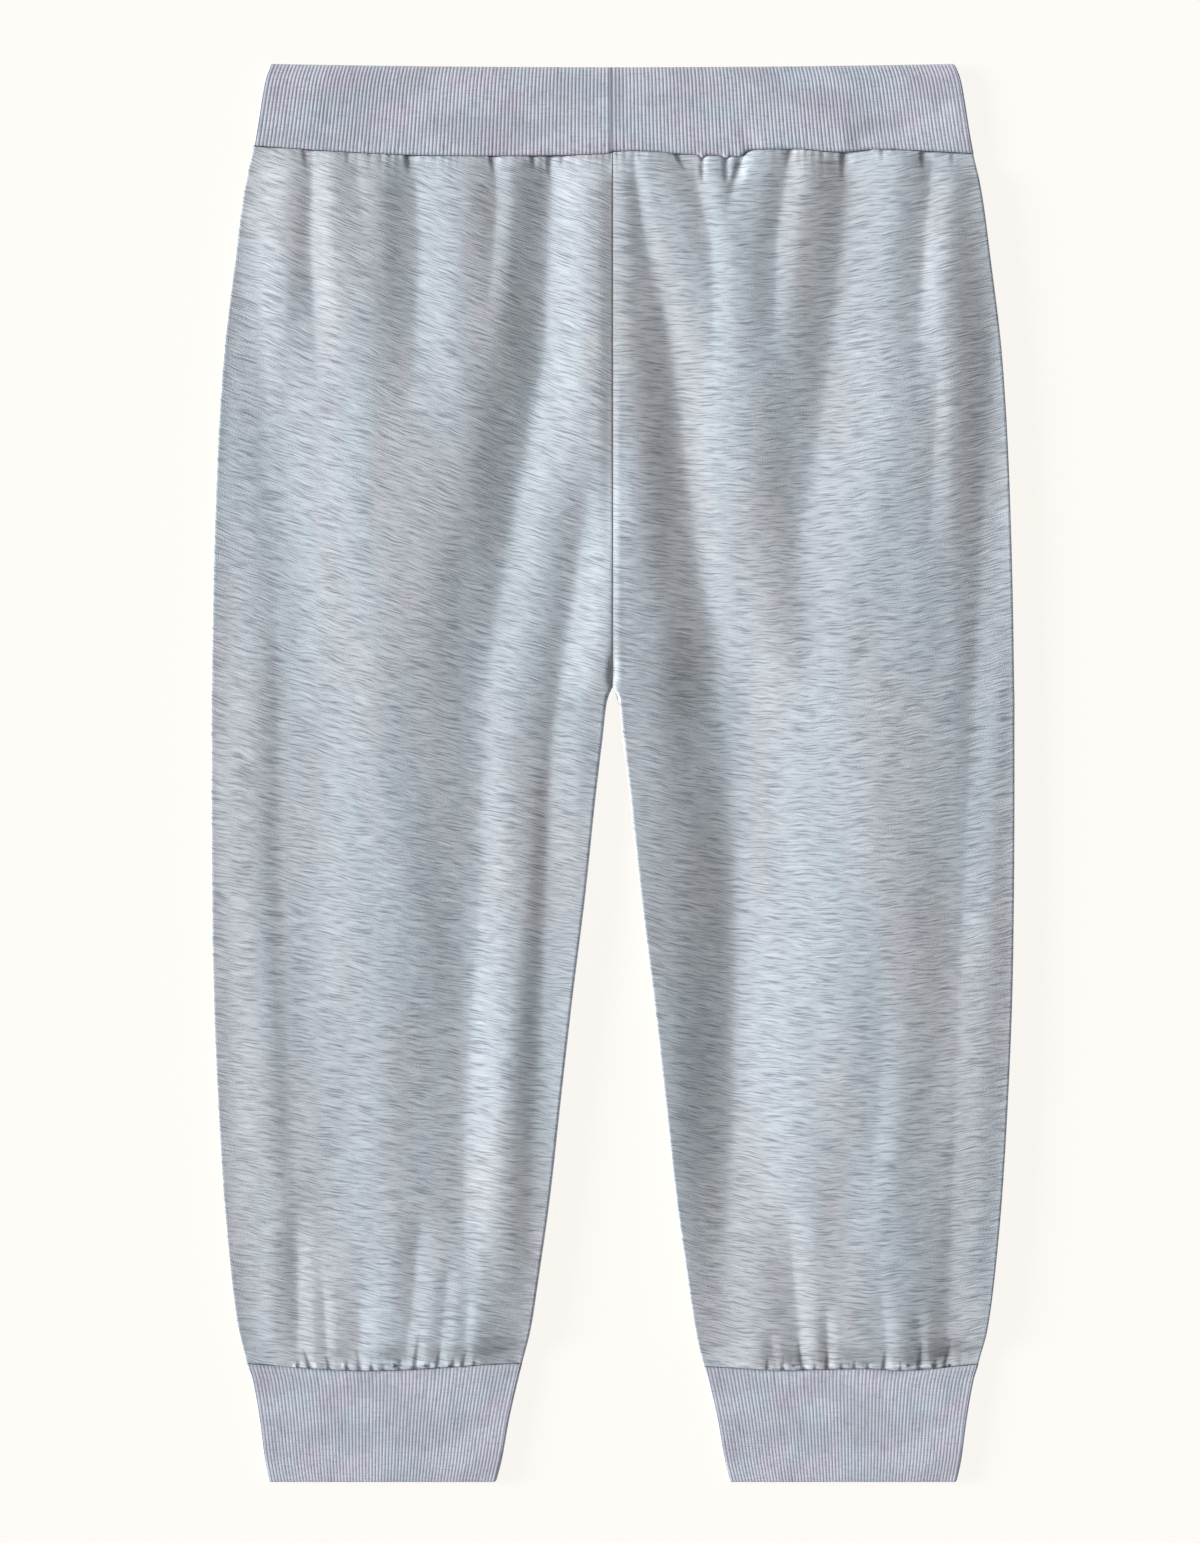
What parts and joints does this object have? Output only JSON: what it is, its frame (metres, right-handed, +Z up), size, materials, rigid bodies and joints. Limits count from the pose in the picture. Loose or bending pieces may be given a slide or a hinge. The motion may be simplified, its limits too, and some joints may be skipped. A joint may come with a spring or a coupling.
{
  "type": "jogger sweatpants",
  "caption": "Small child's jogger sweatpants laid flat, with a ribbed waistband, soft gathered legs and ribbed ankle cuffs.",
  "frame": {"origin": "middle of the garment's outline, on the surface it lies on", "axes": "+X across the garment to the wearer's left, +Y from the cuffs to the waist, +Z up from the surface it lies on"},
  "size_m": [0.289, 0.51, 0.0095],
  "materials": {
    "body_knit": "matt slub sweatshirt knit, heathered grey",
    "rib_knit": "matt fine rib knit, grey"
  },
  "bodies": {
    "root": {"waistband": "rib_knit", "front_right": "body_knit", "front_left": "body_knit", "back_right": "body_knit", "back_left": "body_knit", "cuff_right": "rib_knit", "cuff_left": "rib_knit"}
  },
  "joints": []
}
